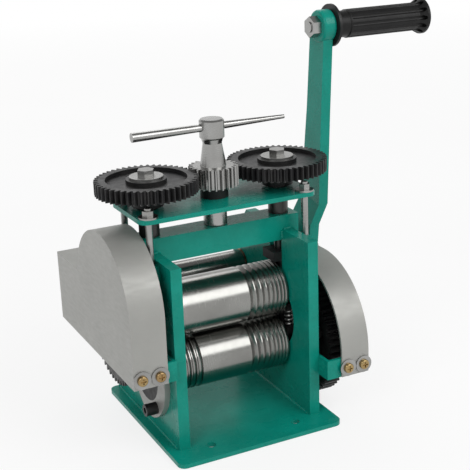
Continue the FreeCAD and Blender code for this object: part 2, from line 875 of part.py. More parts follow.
# T handle
def make_spindle():
    shoulder = crossbar_top_z + spindle_float
    spigot = z_rod(spindle_spigot_r, crossbar_top_z - spindle_spigot_deep, shoulder, 0, roll_y)
    lower = z_rod(spindle_r, shoulder, pinion_bottom_z, 0, roll_y)
    seat = z_rod(pinion_seat_r, pinion_bottom_z, pinion_top_z, 0, roll_y)
    cone = z_cone(cone_foot_r, cone_top_r, pinion_top_z, cone_top_z, 0, roll_y)
    neck = z_cone(cone_top_r, head_r - head_chamfer, cone_top_z, head_bottom_z, 0, roll_y)
    head = z_rod(head_r, head_bottom_z, head_top_z, 0, roll_y)
    head = head.makeChamfer(head_chamfer, [e for e in head.Edges if len(e.Vertexes) == 1])
    whole = spigot.fuse([lower, seat, cone, neck, head])
    return whole.cut(x_bore(bar_mid_r, -head_r, head_r, roll_y, bar_z)).removeSplitter()


def make_bar():
    left = x_cone(bar_left_r, bar_mid_r, bar_left_x, -head_r, roll_y, bar_z)
    middle = x_rod(bar_mid_r, -head_r, head_r, roll_y, bar_z)
    right = x_cone(bar_mid_r, bar_right_r, head_r, bar_right_x, roll_y, bar_z)
    return left.fuse([middle, right]).removeSplitter()


def make_adjusting_pinion():
    gear = z_gear(adjust_pinion_teeth, 0.0, pinion_bottom_z, pinion_top_z, 0, roll_y)
    return gear.cut(z_bore(pinion_seat_r, pinion_bottom_z, pinion_top_z, 0, roll_y))


# gear covers: bent sheet with an outer wall and a rim, open towards the frame and below
def cover_outline(arc_y, arc_z, r, bottom_z, rear_y, rear_top_z):
    front_y = arc_y - r
    rise = rear_top_z - arc_z
    end_y = arc_y + math.sqrt(max(0.0, r * r - rise * rise))
    middle_a = (math.pi + math.atan2(rise, end_y - arc_y)) / 2.0
    corner = vec(0, front_y, bottom_z)
    arc_start = vec(0, front_y, arc_z)
    arc_middle = vec(0, arc_y + r * math.cos(middle_a), arc_z + r * math.sin(middle_a))
    arc_end = vec(0, end_y, rear_top_z)
    rear_top = vec(0, rear_y, rear_top_z)
    rear_foot = vec(0, rear_y, bottom_z)
    edges = [
        Part.makeLine(corner, arc_start),
        Part.Arc(arc_start, arc_middle, arc_end).toShape(),
        Part.makeLine(arc_end, rear_top),
        Part.makeLine(rear_top, rear_foot),
        Part.makeLine(rear_foot, corner),
    ]
    return Part.Face(Part.Wire(edges))


def cover_screw_xs(inner, outer):
    middle = (inner + outer) / 2.0
    return [middle - cover_screw_spacing / 2, middle + cover_screw_spacing / 2]


def make_cover(inner, outer, arc_y, arc_z, r, bottom_z, rear_y, rear_top_z, screw_z):
    outside = cover_outline(arc_y, arc_z, r, bottom_z, rear_y, rear_top_z)
    hollow = cover_outline(
        arc_y, arc_z, r - cover_sheet, bottom_z - cut_over, rear_y - cover_sheet, rear_top_z - cover_sheet)
    shell = outside.extrude(vec(outer - inner, 0, 0))
    shell = shell.cut(hollow.extrude(vec(outer - inner - cover_sheet, 0, 0)))
    shell.translate(vec(inner, 0, 0))
    front_y = arc_y - r
    for x in cover_screw_xs(inner, outer):
        shell = shell.cut(y_bore(cover_screw_r, front_y, front_y + cover_sheet, x, screw_z))
    return shell


def make_left_cover():
    return mirror_x(make_cover(
        left_cover_inner_x, left_cover_outer_x, left_arc_y, left_arc_z, left_arc_r,
        left_cover_bottom_z, left_box_rear_y, left_box_top_z, left_screw_z))


def make_right_cover():
    cover = make_cover(
        right_cover_inner_x, right_cover_outer_x, right_arc_y, right_arc_z, right_arc_r,
        right_cover_bottom_z, right_cover_rear_y, right_arc_z + right_arc_r, right_screw_z)
    shaft_gap_r = crank_collar_r + cover_shaft_clear
    return cover.cut(x_bore(
        shaft_gap_r, right_cover_outer_x - cover_sheet, right_cover_outer_x, shaft_y, shaft_z))


def make_bracket(cover_front_y, rear_y, inner, outer, screw_z):
    back = cover_front_y + cover_sheet
    low = screw_z - bracket_height / 2
    high = screw_z + bracket_height / 2
    web = box(outer_x, outer_x + bracket_thick, back, rear_y, low, high)
    lip = box(outer_x, outer - cover_sheet - bracket_end_gap, back, back + bracket_thick, low, high)
    whole = web.fuse(lip)
    for x in cover_screw_xs(inner, outer):
        whole = whole.cut(y_bore(cover_screw_r, back, back + bracket_thick, x, screw_z))
    return whole.removeSplitter()


def make_cover_screw(x, front_y, z):
    seat = front_y - cover_washer_thick
    shank = y_rod(cover_screw_r, seat, seat + cover_screw_long + cover_washer_thick, x, z)
    head = y_rod(cover_screw_head_r, seat - cover_screw_head, seat, x, z)
    rim = [e for e in head.Edges if len(e.Vertexes) == 1 and e.CenterOfMass.y < seat - cover_screw_head / 2]
    head = head.makeFillet(cover_screw_head_round, rim)
    top = seat - cover_screw_head
    screw = shank.fuse(head)
    floor = top + cross_slot_deep
    for wide, tall in ((cross_slot_long, cross_slot_wide), (cross_slot_wide, cross_slot_long)):
        slot = box(x - wide / 2, x + wide / 2, top - cut_over, floor, z - tall / 2, z + tall / 2)
        screw = screw.cut(slot)
    return screw.removeSplitter()


def make_cover_washer(x, front_y, z):
    outer_face = front_y - cover_washer_thick
    ring = y_rod(cover_washer_r, outer_face, front_y, x, z)
    return ring.cut(y_bore(cover_screw_r + seat_clear, outer_face, front_y, x, z))


# crank: a forged bar bent outwards past the cover, drawn upright and then leaned to its place
def hub_tangent(d, w):
    """Where a straight edge from a point of the arm's outline touches the round hub."""
    side = math.copysign(1.0, w)
    a = math.atan2(d, abs(w)) - math.acos(arm_hub_r / math.hypot(d, w))
    return arm_hub_r * math.sin(a), side * arm_hub_r * math.cos(a)


def arm_prism(dw_points, x0, x1):
    return x_prism([(shaft_y + w, shaft_z + d) for d, w in dw_points], x0, x1)


def front_edge(d):
    share = (d - arm_jog_start) / (arm_waist_at - arm_jog_start)
    return -(arm_root_front + (arm_waist_front - arm_root_front) * share)


def rear_edge(d):
    share = (d - arm_jog_start) / (arm_waist_at - arm_jog_start)
    return arm_root_rear + (arm_waist_rear - arm_root_rear) * share


def make_jog():
    def section(x, d):
        z = shaft_z + d
        front = shaft_y + front_edge(d)
        rear = shaft_y + rear_edge(d)
        return Part.makePolygon([
            vec(x, front, z), vec(x + arm_thick, front, z), vec(x + arm_thick, rear, z),
            vec(x, rear, z), vec(x, front, z)])

    foot = section(arm_hub_inner_x, arm_jog_start)
    top = section(arm_inner_x, arm_jog_end)
    return Part.makeLoft([foot, top], True, True)


def make_crank_arm():
    hub_outer_x = arm_hub_inner_x + arm_thick
    hub = x_rod(arm_hub_r, arm_hub_inner_x, hub_outer_x, shaft_y, shaft_z)
    root_front = (arm_jog_start, front_edge(arm_jog_start))
    root_rear = (arm_jog_start, rear_edge(arm_jog_start))
    root = arm_prism(
        [(0, 0), hub_tangent(*root_front), root_front, root_rear, hub_tangent(*root_rear)],
        arm_hub_inner_x, hub_outer_x)
    blade = arm_prism(
        [(arm_jog_end, front_edge(arm_jog_end)), (arm_waist_at, -arm_waist_front),
         (arm_reach, -arm_tip_front), (arm_reach, arm_tip_rear),
         (arm_waist_at, arm_waist_rear), (arm_jog_end, rear_edge(arm_jog_end))],
        arm_inner_x, arm_outer_x)
    boss_top = shaft_z + arm_reach
    boss = x_rod(arm_boss_r, boss_inner_x, boss_outer_x, shaft_y, boss_top)
    rims = [e for e in boss.Edges if len(e.Vertexes) == 1]
    boss = boss.makeFillet(arm_boss_round, rims)
    arm = hub.fuse([root, make_jog(), blade, boss])
    arm = arm.cut(x_bore(pinion_shaft_seat_r, arm_hub_inner_x, hub_outer_x, shaft_y, shaft_z))
    arm = arm.cut(x_bore(grip_spindle_r, boss_inner_x, boss_outer_x, shaft_y, boss_top))
    arm = arm.removeSplitter()
    arm.rotate(vec(0, shaft_y, shaft_z), vec(1, 0, 0), arm_lean_deg)
    return arm


def make_crank_nut():
    x0 = arm_hub_inner_x + arm_thick + crank_washer_thick
    nut = x_hex(hub_flat, x0, x0 + crank_nut_thick, shaft_y, shaft_z)
    return nut.cut(x_bore(crank_thread_r, x0, x0 + crank_nut_thick, shaft_y, shaft_z))


def make_crank_washer():
    x0 = arm_hub_inner_x + arm_thick
    return x_tube(crank_washer_r, crank_thread_r + seat_clear, x0, x0 + crank_washer_thick, shaft_y, shaft_z)


def make_crank_collar():
    return x_tube(crank_collar_r, pinion_shaft_seat_r, train_outer_x, arm_hub_inner_x, shaft_y, shaft_z)


def grip_start():
    return boss_outer_x + disc_thick + grip_start_gap


def make_grip_spindle():
    x0 = boss_inner_x - grip_spindle_in
    x1 = grip_start() + grip_long - grip_end_wall - grip_spindle_spare
    return x_rod(grip_spindle_r, x0, x1, boss_y, boss_z)


def make_grip_nut():
    x0 = boss_inner_x - grip_nut_thick
    nut = x_hex(grip_nut_flat, x0, boss_inner_x, boss_y, boss_z)
    return nut.cut(x_bore(grip_spindle_r, x0, boss_inner_x, boss_y, boss_z))


def make_grip_disc():
    return x_tube(disc_r, grip_spindle_r, boss_outer_x, boss_outer_x + disc_thick, boss_y, boss_z)


def make_grip():
    """A fluted handle with a plain neck, a flared rim and a domed end."""
    neck_start = grip_start()
    neck_end = neck_start + grip_neck_long
    body_start = neck_end + grip_edge_long
    tip = neck_start + grip_long
    rim_end = tip - grip_dome_high
    rim_start = rim_end - grip_rim_long
    body_end = rim_start - grip_flare_long
    dome_r = (grip_end_r ** 2 + grip_dome_high ** 2) / (2.0 * grip_dome_high)
    mid_r = grip_end_r / 2.0
    mid_x = tip - dome_r + math.sqrt(dome_r ** 2 - mid_r ** 2)
    profile = [(neck_start, 0), (neck_start, grip_neck_r), (neck_end, grip_neck_r), (body_start, grip_body_r),
               (body_end, grip_body_r), (rim_start, grip_end_r), (rim_end, grip_end_r)]
    pts = [vec(x, 0, r) for x, r in profile]
    edges = [Part.makeLine(a, b) for a, b in zip(pts, pts[1:])]
    edges.append(Part.Arc(pts[-1], vec(mid_x, 0, mid_r), vec(tip, 0, 0)).toShape())
    edges.append(Part.makeLine(vec(tip, 0, 0), pts[0]))
    solid = Part.Face(Part.Wire(edges)).revolve(vec(0, 0, 0), vec(1, 0, 0), 360)
    flute_at = grip_body_r + grip_flute_r - grip_flute_deep
    for i in range(grip_flutes):
        a = 2.0 * math.pi * i / grip_flutes
        y = flute_at * math.cos(a)
        z = flute_at * math.sin(a)
        solid = solid.cut(x_rod(grip_flute_r, body_start + grip_edge_long, rim_start, y, z))
    solid.translate(vec(0, boss_y, boss_z))
    bore_end = tip - grip_end_wall
    return solid.cut(x_rod(grip_spindle_r + run_clear, neck_start - cut_over, bore_end, boss_y, boss_z))


# frame
save("base_plate", [make_base()])
side_plate = make_side_plate()
idler_hole = x_bore(idler_stud_r, inner_x, outer_x, idler_y, idler_z)
save("right_side_plate", [side_plate.cut(idler_hole)])
save("left_side_plate", [mirror_x(side_plate)])
save("crossbar", [make_crossbar()])
lugs = [make_stud_lug(roll_y + sy * stud_half_y) for sy in (-1, 1)]
save("stud_lugs", lugs + [mirror_x(lug) for lug in lugs])
save("top_plate", [make_top_plate()])
save("top_plate_studs", [make_stud(x, y) for x, y in stud_places()])
save("top_plate_washers", [make_stud_washer(x, y) for x, y in stud_places()])
save("top_plate_nuts", [make_stud_nut(x, y, top_top_z + stud_washer_thick) for x, y in stud_places()])
save("spindle_collar", [make_spindle_collar()])

# bearings of the lower roll
lower_bearing = make_lower_bearing()
save("right_lower_bearing", [lower_bearing])
save("left_lower_bearing", [mirror_x(lower_bearing)])
lower_bush = make_bush(inner_x - roll_end_gap + lift_clear, outer_x + flange_thick, lower_roll_z)
save("lower_bushes", [lower_bush, mirror_x(lower_bush)])
bearing_flange = make_bearing_flange()
save("right_bearing_flange", [bearing_flange])
save("left_bearing_flange", [mirror_x(bearing_flange)])
flange_bolts = [make_flange_bolt(y, z) for y, z in flange_bolt_places()]
save("flange_bolts", flange_bolts + [mirror_x(bolt) for bolt in flange_bolts])

# return springs
spring_places = [(sx * mid_x, roll_y + sy * spring_half_y) for sx in (-1, 1) for sy in (-1, 1)]
save("return_springs", [make_return_spring(x, y) for x, y in spring_places])
print("least gap between the spring's turns, mm:", round(least_spring_gap(), 2))

# upper carriage
upper_bearing = make_upper_bearing()
save("right_upper_bearing", [upper_bearing])
save("left_upper_bearing", [mirror_x(upper_bearing)])
upper_bush = make_bush(inner_x - roll_end_gap + lift_clear, outer_x - lift_clear, upper_roll_z)
save("upper_bushes", [upper_bush, mirror_x(upper_bush)])

# upper roll and its gear
save("upper_roll", [make_upper_roll()])
save("upper_roll_spacer", [x_tube(
    upper_spacer_r, journal_r + run_clear, -(left_train_inner_x - main_gear_hub_long - lift_clear),
    -(outer_x + lift_clear), roll_y, upper_roll_z)])
save("left_main_gear", [make_main_gear(-left_train_inner_x, left_gear_angle, upper_roll_z, -1)])
left_floor = -gear_floor(left_train_inner_x)
save("left_gear_nut", [make_roll_nut(left_floor, left_floor - roll_nut_thick, upper_roll_z)])

# lower roll and its gear
save("lower_roll", [make_lower_roll()])
save("lower_roll_spacer", [x_tube(
    lower_spacer_r, journal_r, outer_x + flange_thick + lift_clear, train_inner_x - main_gear_hub_long,
    roll_y, lower_roll_z)])
save("right_main_gear", [make_main_gear(train_inner_x, right_gear_angle, lower_roll_z, 1)])
right_floor = gear_floor(train_inner_x)
save("right_gear_nut", [make_roll_nut(right_floor, right_floor + roll_nut_thick, lower_roll_z)])

# drive shaft
save("drive_shaft", [make_drive_shaft()])
bush = make_shaft_bush()
save("shaft_bushes", [bush, mirror_x(bush)])
save("shaft_sleeve", [x_tube(sleeve_r, shaft_r, -inner_x + sleeve_end_gap, inner_x - sleeve_end_gap,
                             shaft_y, shaft_z)])
save("left_drive_pinion", [make_drive_pinion(-left_train_inner_x, -left_train_outer_x)])
save("right_drive_pinion", [make_drive_pinion(train_inner_x, train_outer_x)])
save("idler_gear", [make_idler()])
save("idler_stud", [make_idler_stud()])

# adjusting screws, gears and T handle
right_adjust_angle = mating_angle(0.0, adjust_pinion_teeth, 0.0, adjust_gear_teeth)
left_adjust_angle = mating_angle(math.pi, adjust_pinion_teeth, 0.0, adjust_gear_teeth)
for side, x, angle in (("left", -screw_x, left_adjust_angle), ("right", screw_x, right_adjust_angle)):
    save(side + "_screw", [make_screw(x)])
    save(side + "_adjusting_gear", [make_adjusting_gear(angle, x)])
    save(side + "_screw_washer", [make_screw_washer(x)])
    save(side + "_screw_bolt", [make_screw_bolt(x)])
save("t_handle_spindle", [make_spindle()])
save("t_handle_bar", [make_bar()])
save("adjusting_pinion", [make_adjusting_pinion()])

# covers
save("left_gear_cover", [make_left_cover()])
save("right_gear_cover", [make_right_cover()])
left_bracket = make_bracket(left_cover_front_y, left_bracket_rear_y, left_cover_inner_x, left_cover_outer_x,
                            left_screw_z)
save("left_cover_bracket", [mirror_x(left_bracket)])
save("right_cover_bracket", [make_bracket(
    right_cover_front_y, right_bracket_rear_y, right_cover_inner_x, right_cover_outer_x, right_screw_z)])
left_xs = [-x for x in cover_screw_xs(left_cover_inner_x, left_cover_outer_x)]
right_xs = cover_screw_xs(right_cover_inner_x, right_cover_outer_x)
save("cover_screws",
     [make_cover_screw(x, left_cover_front_y, left_screw_z) for x in left_xs]
     + [make_cover_screw(x, right_cover_front_y, right_screw_z) for x in right_xs])
save("cover_washers",
     [make_cover_washer(x, left_cover_front_y, left_screw_z) for x in left_xs]
     + [make_cover_washer(x, right_cover_front_y, right_screw_z) for x in right_xs])

# crank
save("crank_arm", [make_crank_arm()])
save("crank_collar", [make_crank_collar()])
save("crank_washer", [make_crank_washer()])
save("crank_nut", [make_crank_nut()])
save("grip_spindle", [make_grip_spindle()])
save("grip_nut", [make_grip_nut()])
save("grip_disc", [make_grip_disc()])
save("crank_grip", [make_grip()])
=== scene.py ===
import math
import random

import bpy
from mathutils import Matrix, Vector


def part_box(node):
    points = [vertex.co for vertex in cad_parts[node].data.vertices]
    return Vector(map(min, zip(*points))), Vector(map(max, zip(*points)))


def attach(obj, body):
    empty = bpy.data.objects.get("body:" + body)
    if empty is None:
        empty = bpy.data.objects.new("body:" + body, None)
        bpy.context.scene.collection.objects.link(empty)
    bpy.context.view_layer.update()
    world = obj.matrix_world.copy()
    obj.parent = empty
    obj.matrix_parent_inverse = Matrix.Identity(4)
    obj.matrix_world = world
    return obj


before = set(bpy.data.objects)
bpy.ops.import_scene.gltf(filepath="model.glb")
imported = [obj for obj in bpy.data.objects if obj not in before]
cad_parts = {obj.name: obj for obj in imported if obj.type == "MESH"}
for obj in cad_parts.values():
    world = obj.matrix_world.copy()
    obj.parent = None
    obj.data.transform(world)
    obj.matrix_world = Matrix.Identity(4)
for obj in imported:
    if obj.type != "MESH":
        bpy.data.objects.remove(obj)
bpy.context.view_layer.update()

# The photograph's camera: place in metres, way it looks, roll in degrees, sensor in millimetres.
CAMERA_AT = Vector((-0.3878, -0.8349, 0.4762))
CAMERA_WAY = Vector((0.4168, 0.8524, -0.3157))
CAMERA_ROLL = -2.03
FOCAL_SHARE = 1087.8 / 470.0
SENSOR = 36.0

# World: its light on the object, and the white that direct, glossy and transmitted rays see,
# which turns to grey between two heights of the ray's way (0 is level, 1 is straight up).
WORLD_LIGHT = 0.50
WHITE = (1, 1, 1, 1)
OVERHEAD = (0.30, 0.30, 0.30, 1)
WHITE_UP_TO = 0.12
GREY_FROM = 0.62

# Floor, in metres: it carries a share of plain white, which grows to the whole with distance
# and is left out within half a width and half a depth that stay under the base plate.
FLOOR_SIZE = 16.0
FLOOR_Z = -0.0005
FLOOR_PALE = (0.84, 0.84, 0.84, 1)
FLOOR_PALER = (0.88, 0.88, 0.88, 1)
FLOOR_GLOW = 0.80
FADE_START = 0.5
FADE_END = 3.0
UNDER_BASE = (0.076, 0.082)

# Lamps: name, place and size in metres, power in watts. All of them look at one point.
LAMP_TARGET = (0, 0, 0.15)
LAMPS = (
    ("key_lamp", (0.85, -1.35, 1.35), (1.3, 1.1), 17.0),
    ("left_lamp", (-1.3, -0.9, 1.4), (0.9, 0.9), 9.0),
    ("rear_lamp", (0.2, 1.4, 1.5), (1.4, 0.8), 8.0),
)

# Weld beads, in metres.
FIXED_BODY = "frame"
RIPPLE = 0.0024
LEAST_RIPPLES = 3
RINGS_PER_RIPPLE = 5
BEAD_SIDES = 10
FOOT_BEAD_R = 0.0017
BAR_BEAD_R = 0.0021
BEAD_INSET = 0.004
BEAD_END = 0.0008
# Shares of a bead's radius: at a ripple's edge, the rise to its crest, its chance change,
# the lean of a ripple along the bead, and how far the first ring is into its rounded end.
RIPPLE_EDGE = 0.82
RIPPLE_CREST = 0.18
RIPPLE_CHANCE = 0.07
RIPPLE_LEAN = 0.35
END_SHARE = 0.4

# Paint and metal colours, linear.
GREEN = (0.004, 0.275, 0.212, 1.0)
GREEN_DARK = (0.002, 0.222, 0.168, 1.0)
GREY = (0.370, 0.370, 0.350, 1.0)
GREY_DARK = (0.325, 0.325, 0.308, 1.0)
BLACK = (0.013, 0.013, 0.014, 1.0)
BLACK_WORN = (0.034, 0.033, 0.032, 1.0)
ROLL = (0.300, 0.300, 0.286, 1.0)
ROLL_DARK = (0.200, 0.198, 0.188, 1.0)
STEEL = (0.400, 0.400, 0.392, 1.0)
STEEL_DARK = (0.270, 0.268, 0.258, 1.0)
SCREW = (0.060, 0.059, 0.057, 1.0)
SCREW_DARK = (0.030, 0.030, 0.029, 1.0)
ZINC = (0.430, 0.330, 0.150, 1.0)
ZINC_DARK = (0.300, 0.190, 0.090, 1.0)
BRONZE = (0.300, 0.180, 0.075, 1.0)
BRONZE_DARK = (0.180, 0.105, 0.045, 1.0)
PLASTIC = (0.006, 0.006, 0.006, 1.0)
PLASTIC_WORN = (0.012, 0.012, 0.012, 1.0)

# How many times faster the noise changes along each axis: tool marks run around X or around Z.
EVEN = (1.0, 1.0, 1.0)
AROUND_X = (40.0, 1.0, 1.0)
AROUND_X_WIDE = (20.0, 1.0, 1.0)
AROUND_Z = (1.0, 1.0, 30.0)
AROUND_Z_FINE = (1.0, 1.0, 40.0)
AROUND_Z_WIDE = (1.0, 1.0, 12.0)
RUB_MARKS = (1.0, 1.0, 4.0)


class Net:
    """A short way to build a node tree."""

    def __init__(self, tree):
        self.tree = tree
        self.coord = tree.nodes.new("ShaderNodeTexCoord")

    def node(self, kind, links=None, **values):
        node = self.tree.nodes.new(kind)
        for key, value in values.items():
            setattr(node, key, value)
        for socket, source in (links or {}).items():
            if isinstance(source, bpy.types.NodeSocket):
                self.tree.links.new(source, node.inputs[socket])
            else:
                node.inputs[socket].default_value = source
        return node

    def maths(self, operation, *values):
        links = dict(enumerate(values))
        return self.node("ShaderNodeMath", links, operation=operation).outputs[0]

    def noise(self, scale, detail, stretch=EVEN):
        links = {"Vector": self.coord.outputs["Object"], "Scale": stretch}
        place = self.node("ShaderNodeMapping", links).outputs[0]
        links = {"Vector": place, "Scale": scale, "Detail": detail}
        return self.node("ShaderNodeTexNoise", links).outputs["Fac"]

    def ramp(self, fac, first, last, low, high):
        """From the first colour at low to the last colour at high."""
        node = self.node("ShaderNodeValToRGB", {"Fac": fac})
        start, end = node.color_ramp.elements
        start.position, start.color = low, first
        end.position, end.color = high, last
        return node.outputs["Color"]

    def spread(self, value, first, last, low, high):
        """From the first number at low to the last number at high."""
        links = {"Value": value, "From Min": low, "From Max": high, "To Min": first, "To Max": last}
        return self.node("ShaderNodeMapRange", links).outputs["Result"]

    def bump(self, height, distance, strength=1.0):
        links = {"Height": height, "Distance": distance, "Strength": strength}
        return self.node("ShaderNodeBump", links).outputs["Normal"]

    def mix_into(self, output, fac, first, last):
        mix = self.node("ShaderNodeMixShader", {0: fac, 1: first, 2: last})
        self.tree.links.new(mix.outputs[0], self.tree.nodes[output].inputs["Surface"])


class Finish(Net):
    """The node tree of one material, around its Principled shader."""

    def __init__(self, name):
        self.mat = bpy.data.materials.new(name)
        self.mat.use_nodes = True
        super().__init__(self.mat.node_tree)
        self.shader = self.tree.nodes["Principled BSDF"]

    def to(self, socket, source):
        if isinstance(source, bpy.types.NodeSocket):
            self.tree.links.new(source, self.shader.inputs[socket])
        else:
            self.shader.inputs[socket].default_value = source

    def patchy_colour(self, patches, first, last, low, high):
        self.to("Base Color", self.ramp(patches, first, last, low, high))

    def patchy_roughness(self, patches, roughness, less, more, low=0.3, high=0.8):
        self.to("Roughness", self.spread(patches, roughness - less, roughness + more, low, high))


def gloss_paint(name, colour, dark, roughness, peel):
    """Thick gloss paint: slight orange peel, small dust nibs and uneven depth of colour."""
    net = Finish(name)
    net.patchy_colour(net.noise(scale=35.0, detail=5.0), dark, colour, low=0.35, high=0.75)
    net.patchy_roughness(net.noise(scale=60.0, detail=4.0), roughness, less=0.05, more=0.10)
    waves = net.noise(scale=420.0, detail=2.0)
    nibs = net.spread(net.noise(scale=1500.0, detail=1.0), 0.0, 1.0, low=0.68, high=0.80)
    net.to("Normal", net.bump(net.maths("ADD", waves, nibs), distance=peel))
    net.to("Specular IOR Level", 0.14)
    net.to("Coat Weight", 0.10)
    net.to("Coat Roughness", 0.14)
    return net.mat


def satin_paint(name, colour, dark, roughness):
    """Sprayed light grey sheet: fine metallic grain and soft marks from handling."""
    net = Finish(name)
    net.patchy_colour(net.noise(scale=22.0, detail=6.0), dark, colour, low=0.30, high=0.80)
    marks = net.noise(scale=90.0, detail=6.0, stretch=RUB_MARKS)
    net.patchy_roughness(marks, roughness, less=0.08, more=0.12)
    net.to("Metallic", 0.30)
    net.to("Specular IOR Level", 0.30)
    net.to("Normal", net.bump(net.noise(scale=2600.0, detail=2.0), distance=0.00003))
    return net.mat


def turned_metal(name, colour, dark, roughness, marks, fine, metallic=1.0):
    """Bright metal: tool marks stretched as given, light stains and uneven polish."""
    net = Finish(name)
    stains = net.noise(scale=30.0, detail=6.0)
    net.patchy_colour(stains, dark, colour, low=0.25, high=0.70)
    lines = net.noise(scale=fine, detail=2.0, stretch=marks)
    both = net.maths("ADD", lines, stains)
    net.patchy_roughness(both, roughness, less=0.06, more=0.08, low=0.6, high=1.4)
    net.to("Metallic", metallic)
    net.to("Normal", net.bump(lines, distance=0.00002, strength=0.6))
    return net.mat


def black_iron(name, colour, worn, roughness, grain):
    """Blackened cast or machined steel: sooty, faintly mottled, lighter where it is rubbed."""
    net = Finish(name)
    net.patchy_colour(net.noise(scale=60.0, detail=6.0), colour, worn, low=0.40, high=0.78)
    net.patchy_roughness(net.noise(scale=160.0, detail=5.0), roughness, less=0.08, more=0.14)
    net.to("Metallic", 0.30)
    net.to("Specular IOR Level", 0.30)
    net.to("Normal", net.bump(net.noise(scale=grain, detail=3.0), distance=0.00008))
    return net.mat


def moulded_plastic(name, colour, worn, roughness):
    """Black moulded grip: fine leather-like spark grain with a dusty bloom."""
    net = Finish(name)
    grain = {"Vector": net.coord.outputs["Object"], "Scale": 1400.0}
    cells = net.node("ShaderNodeTexVoronoi", grain)
    net.patchy_colour(net.noise(scale=45.0, detail=5.0), colour, worn, low=0.35, high=0.80)
    net.patchy_roughness(net.noise(scale=120.0, detail=4.0), roughness, less=0.08, more=0.10)
    net.to("Specular IOR Level", 0.22)
    net.to("Normal", net.bump(cells.outputs["Distance"], distance=0.00010, strength=0.5))
    return net.mat


green = gloss_paint("green_paint", GREEN, GREEN_DARK, 0.27, peel=0.00007)
grey = satin_paint("grey_paint", GREY, GREY_DARK, 0.42)
roll_steel = turned_metal("polished_rolls", ROLL, ROLL_DARK, 0.22, AROUND_X, fine=90.0)
handle_steel = turned_metal("handle_steel", STEEL, STEEL_DARK, 0.24, AROUND_Z, fine=110.0)
turned_steel = turned_metal("turned_steel", STEEL, STEEL_DARK, 0.30, AROUND_Z, fine=140.0)
gear_steel = turned_metal("gear_steel", STEEL, STEEL_DARK, 0.27, AROUND_Z_WIDE, fine=220.0)
screw_steel = turned_metal("dark_screws", SCREW, SCREW_DARK, 0.32, AROUND_Z_FINE, fine=160.0,
                           metallic=0.7)
spring_steel = turned_metal("spring_steel", STEEL, STEEL_DARK, 0.32, EVEN, fine=300.0)
zinc = turned_metal("yellow_zinc", ZINC, ZINC_DARK, 0.30, EVEN, fine=260.0)
bronze = turned_metal("bronze", BRONZE, BRONZE_DARK, 0.34, AROUND_X_WIDE, fine=160.0)
black = black_iron("blackened_steel", BLACK, BLACK_WORN, 0.38, grain=900.0)
cast = black_iron("black_casting", BLACK, BLACK_WORN, 0.52, grain=420.0)
plastic = moulded_plastic("grip_plastic", PLASTIC, PLASTIC_WORN, 0.40)

LOOKS = {
    green: ["base_plate", "left_side_plate", "right_side_plate", "crossbar", "stud_lugs",
            "top_plate", "left_cover_bracket", "right_cover_bracket", "crank_arm"],
    grey: ["left_gear_cover", "right_gear_cover", "left_bearing_flange", "right_bearing_flange"],
    roll_steel: ["upper_roll", "lower_roll", "shaft_sleeve"],
    handle_steel: ["t_handle_spindle", "t_handle_bar"],
    gear_steel: ["adjusting_pinion"],
    turned_steel: ["top_plate_studs", "top_plate_washers", "top_plate_nuts", "idler_stud",
                   "upper_roll_spacer", "lower_roll_spacer", "drive_shaft", "crank_collar",
                   "crank_washer", "crank_nut", "grip_spindle", "grip_nut",
                   "left_screw_bolt", "right_screw_bolt", "left_screw_washer", "right_screw_washer",
                   "cover_washers"],
    screw_steel: ["left_screw", "right_screw"],
    spring_steel: ["return_springs"],
    zinc: ["cover_screws"],
    bronze: ["lower_bushes", "upper_bushes", "shaft_bushes"],
    black: ["left_adjusting_gear", "right_adjusting_gear", "left_main_gear", "right_main_gear",
            "left_gear_nut", "right_gear_nut", "left_drive_pinion", "right_drive_pinion",
            "idler_gear", "flange_bolts", "grip_disc", "spindle_collar"],
    cast: ["left_lower_bearing", "right_lower_bearing", "left_upper_bearing", "right_upper_bearing"],
    plastic: ["crank_grip"],
}
for material, names in LOOKS.items():
    for name in names:
        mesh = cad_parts[name].data
        mesh.materials.clear()
        mesh.materials.append(material)


def set_camera():
    """The photograph's own view: the plain way it looks, then the small roll."""
    right = CAMERA_WAY.cross(Vector((0, 0, 1))).normalized()
    up = right.cross(CAMERA_WAY).normalized()
    roll = math.radians(CAMERA_ROLL)
    tilted_right = right * math.cos(roll) + up * math.sin(roll)
    tilted_up = up * math.cos(roll) - right * math.sin(roll)
    data = bpy.data.cameras.new("photo_camera")
    data.sensor_fit = "HORIZONTAL"
    data.sensor_width = SENSOR
    data.lens = FOCAL_SHARE * SENSOR
    camera = bpy.data.objects.new("photo_camera", data)
    back = -CAMERA_WAY.normalized()
    camera.matrix_world = Matrix((
        (tilted_right.x, tilted_up.x, back.x, CAMERA_AT.x),
        (tilted_right.y, tilted_up.y, back.y, CAMERA_AT.y),
        (tilted_right.z, tilted_up.z, back.z, CAMERA_AT.z),
        (0, 0, 0, 1)))
    bpy.context.scene.collection.objects.link(camera)
    bpy.context.scene.camera = camera


def area_lamp(name, at, size, power):
    data = bpy.data.lights.new(name, "AREA")
    data.shape = "RECTANGLE"
    data.size, data.size_y = size
    data.energy = power
    lamp = bpy.data.objects.new(name, data)
    lamp.location = at
    way = Vector(LAMP_TARGET) - Vector(at)
    lamp.rotation_euler = way.to_track_quat("-Z", "Y").to_euler()
    bpy.context.scene.collection.objects.link(lamp)


def meets_background(net):
    """One for rays that see the pale background: from the camera, in gloss and through glass."""
    path = net.node("ShaderNodeLightPath").outputs
    share = net.maths("MAXIMUM", path["Is Camera Ray"], path["Is Glossy Ray"])
    return net.maths("MAXIMUM", share, path["Is Transmission Ray"])


